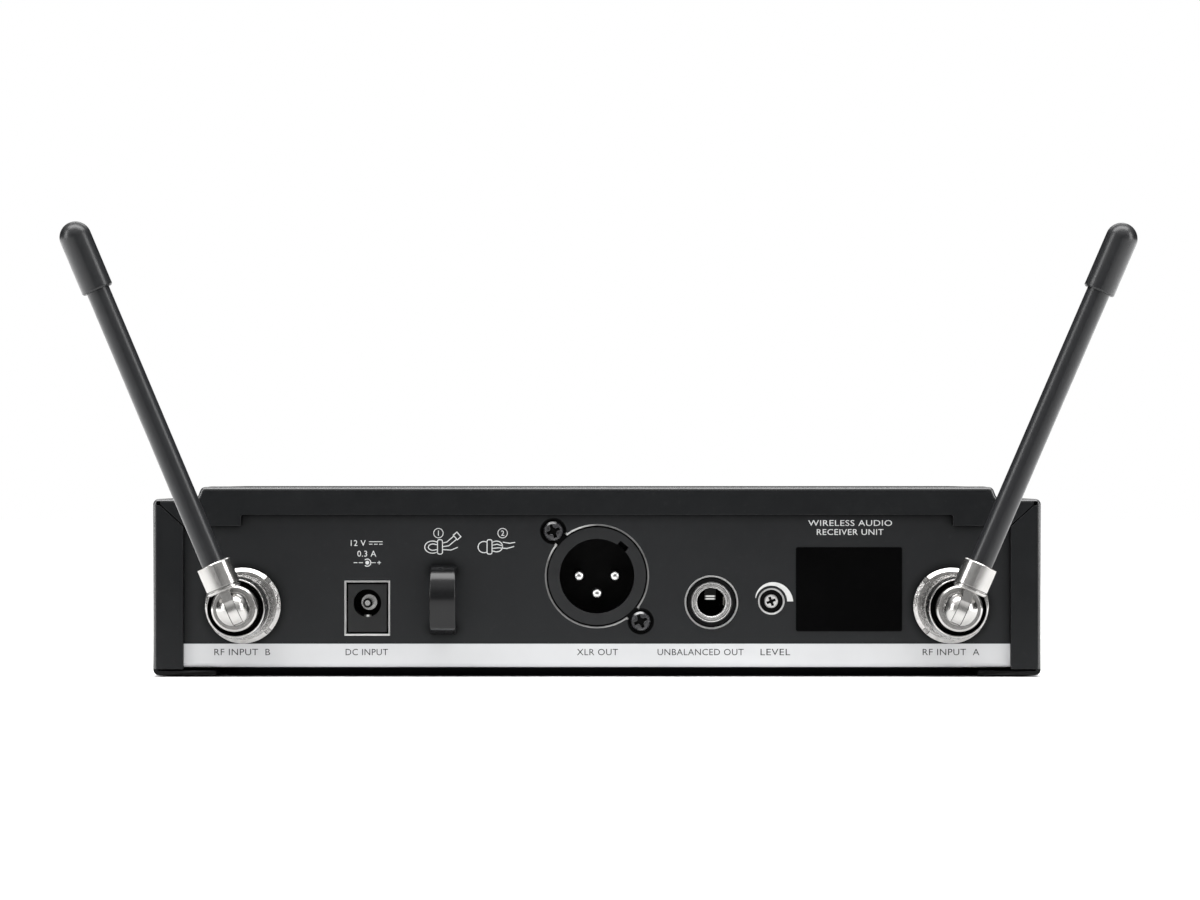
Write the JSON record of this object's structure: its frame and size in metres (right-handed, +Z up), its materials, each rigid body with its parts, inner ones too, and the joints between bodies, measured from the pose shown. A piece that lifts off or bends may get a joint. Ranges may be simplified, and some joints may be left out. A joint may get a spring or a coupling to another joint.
{
  "type": "wireless microphone receiver",
  "caption": "Half-rack diversity wireless receiver in a folded steel case with a rear connector panel and swivelling elbow antennas on bayonet ports.",
  "frame": {"origin": "centre of the flat underside, on the plane the unit stands on", "axes": "+Z up, +Y out of the connector panel, -Y out of the front bezel, +X towards the left edge as seen from behind"},
  "size_m": [0.2323, 0.1698, 0.0993],
  "materials": {
    "black_sheet": "satin black powder coat on steel",
    "panel_sheet": "satin dark grey paint on steel",
    "bezel_plastic": "fine-textured black moulding",
    "black_plastic": "moulded black",
    "black_gloss": "polished black moulding",
    "tie_plastic": "semi-gloss black moulding",
    "button_rubber": "soft matt grey",
    "label_film": "blank black film",
    "window_clear": "smoked clear moulding",
    "display_black": "black face with pale segments",
    "pipe_clear": "frosted clear moulding",
    "circuit_board": "green solder resist",
    "chip_black": "moulded epoxy",
    "capacitor_can": "satin can",
    "tin_plate": "tinned sheet",
    "gold_contact": "gold-plated",
    "spring_metal": "bright spring strip",
    "silver_pin": "silver-plated",
    "nickel_plate": "bright nickel plate",
    "zinc_steel": "zinc-plated",
    "dark_screw": "blackened steel",
    "connector_shell": "dark-coated die-cast shell",
    "white_plastic": "natural white moulding",
    "lead_jacket": "black cable jacket",
    "ribbon_jacket": "grey flat cable",
    "whip_sheath": "satin charcoal sheath",
    "boot_rubber": "satin charcoal rubber"
  },
  "bodies": {
    "receiver": {"top_cover": "black_sheet", "chassis_tray": "panel_sheet", "cover_screws": "dark_screw", "front_bezel": "bezel_plastic", "bezel_screws": "zinc_steel", "rating_label": "label_film", "display_window": "window_clear", "segment_display": "display_black", "light_pipes": "pipe_clear", "tact_switches": "black_plastic", "power_switch_body": "black_plastic", "front_pcb": "circuit_board", "main_pcb": "circuit_board", "pcb_standoffs": "zinc_steel", "pcb_screws": "zinc_steel", "rf_shield_cans": "tin_plate", "signal_chips": "chip_black", "capacitors": "capacitor_can", "coax_sockets": "gold_contact", "coax_leads": "lead_jacket", "ribbon_cable": "ribbon_jacket", "ribbon_sockets": "white_plastic", "bnc_jack_a": "nickel_plate", "bnc_jack_b": "nickel_plate", "bnc_nuts": "nickel_plate", "bnc_washers": "zinc_steel", "bnc_insulators": "white_plastic", "bnc_contacts": "gold_contact", "dc_jack_body": "black_plastic", "dc_jack_pin": "nickel_plate", "dc_jack_spring": "spring_metal", "cord_tie_off": "tie_plastic", "xlr_housing": "connector_shell", "xlr_insert": "black_plastic", "xlr_pins": "silver_pin", "xlr_screws": "dark_screw", "phone_jack_body": "black_plastic", "phone_jack_sleeve": "nickel_plate", "phone_jack_contacts": "spring_metal", "volume_pot_body": "black_plastic"},
    "volume_trim": {"volume_shaft": "nickel_plate"},
    "rocker": {"power_rocker": "black_gloss"},
    "group_key": {"group_button": "button_rubber"},
    "channel_key": {"channel_button": "button_rubber"},
    "ring_a": {"antenna_a_ring": "nickel_plate"},
    "ring_b": {"antenna_b_ring": "nickel_plate"},
    "base_a": {"antenna_a_plug": "nickel_plate", "antenna_a_insulator": "white_plastic", "antenna_a_contact": "gold_contact", "antenna_a_hinge_pin": "nickel_plate"},
    "base_b": {"antenna_b_plug": "nickel_plate", "antenna_b_insulator": "white_plastic", "antenna_b_contact": "gold_contact", "antenna_b_hinge_pin": "nickel_plate"},
    "arm_a": {"antenna_a_ferrule": "nickel_plate", "antenna_a_whip": "whip_sheath", "antenna_a_boot": "boot_rubber"},
    "arm_b": {"antenna_b_ferrule": "nickel_plate", "antenna_b_whip": "whip_sheath", "antenna_b_boot": "boot_rubber"}
  },
  "joints": [
    {"name": "antenna_a_swivel", "type": "hinge", "parent": "receiver", "child": "base_a", "pos_m": [-0.0785, 0.0659, 0.0157], "axis": [0, -1, 0], "continuous": true},
    {"name": "antenna_a_elbow", "type": "hinge", "parent": "base_a", "child": "arm_a", "pos_m": [-0.0785, 0.0981, 0.0157], "axis": [-0.9178, 0, -0.3971], "range_deg": [0, 90]},
    {"name": "antenna_a_lock", "type": "hinge", "parent": "receiver", "child": "ring_a", "pos_m": [-0.0785, 0.0659, 0.0157], "axis": [0, 1, 0], "range_deg": [0, 90]},
    {"name": "antenna_b_swivel", "type": "hinge", "parent": "receiver", "child": "base_b", "pos_m": [0.0785, 0.0659, 0.0157], "axis": [0, 1, 0], "continuous": true},
    {"name": "antenna_b_elbow", "type": "hinge", "parent": "base_b", "child": "arm_b", "pos_m": [0.0785, 0.0981, 0.0157], "axis": [-0.9212, 0, 0.3891], "range_deg": [0, 90]},
    {"name": "antenna_b_lock", "type": "hinge", "parent": "receiver", "child": "ring_b", "pos_m": [0.0785, 0.0659, 0.0157], "axis": [0, 1, 0], "range_deg": [0, 90]},
    {"name": "volume_turn", "type": "hinge", "parent": "receiver", "child": "volume_trim", "pos_m": [-0.0387, 0.0604, 0.0166], "axis": [0, 1, 0], "range_deg": [-135, 135]},
    {"name": "power_rock", "type": "hinge", "parent": "receiver", "child": "rocker", "pos_m": [0.072, -0.06, 0.0215], "axis": [1, 0, 0], "range_deg": [0, 14]},
    {"name": "group_press", "type": "slide", "parent": "receiver", "child": "group_key", "axis": [0, 1, 0], "range_m": [0, 0.00035], "stiffness_N_per_m": 800},
    {"name": "channel_press", "type": "slide", "parent": "receiver", "child": "channel_key", "axis": [0, 1, 0], "range_m": [0, 0.00035], "stiffness_N_per_m": 800}
  ]
}
